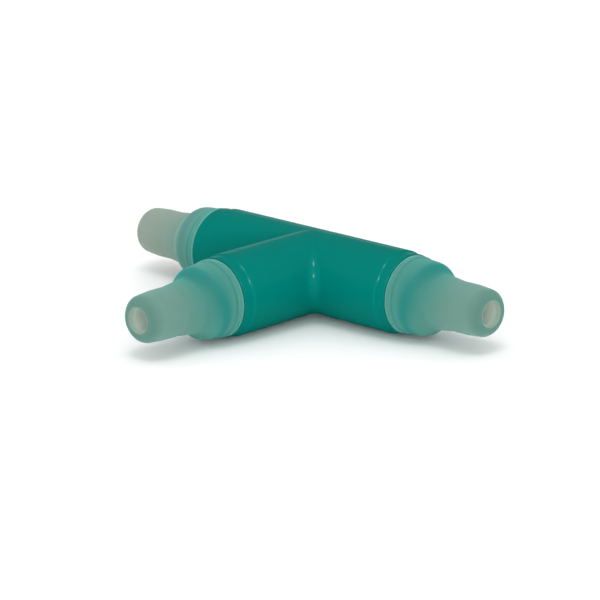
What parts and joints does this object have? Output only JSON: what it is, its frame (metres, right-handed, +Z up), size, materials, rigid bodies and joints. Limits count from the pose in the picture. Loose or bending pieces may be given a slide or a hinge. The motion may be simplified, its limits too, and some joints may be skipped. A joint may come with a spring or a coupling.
{
  "type": "aquarium air line tee",
  "caption": "Tee fitting for aquarium air line: an opaque moulded body with a translucent push-on nozzle cemented into each arm, joined by one through airway.",
  "frame": {"origin": "where the axes of the run and of the branch cross, in the middle of the run's airway", "axes": "+X along the run, -Y along the branch and +Z up, square to both arms"},
  "size_m": [0.0432, 0.0253, 0.0074],
  "materials": {
    "body_plastic": "opaque teal moulded plastic, glossy",
    "nozzle_plastic": "translucent natural plastic, soft gloss, tinted by the body behind it"
  },
  "bodies": {
    "root": {"tee_body": "body_plastic", "run_nozzle_right": "nozzle_plastic", "run_nozzle_left": "nozzle_plastic", "branch_nozzle": "nozzle_plastic"}
  },
  "joints": []
}
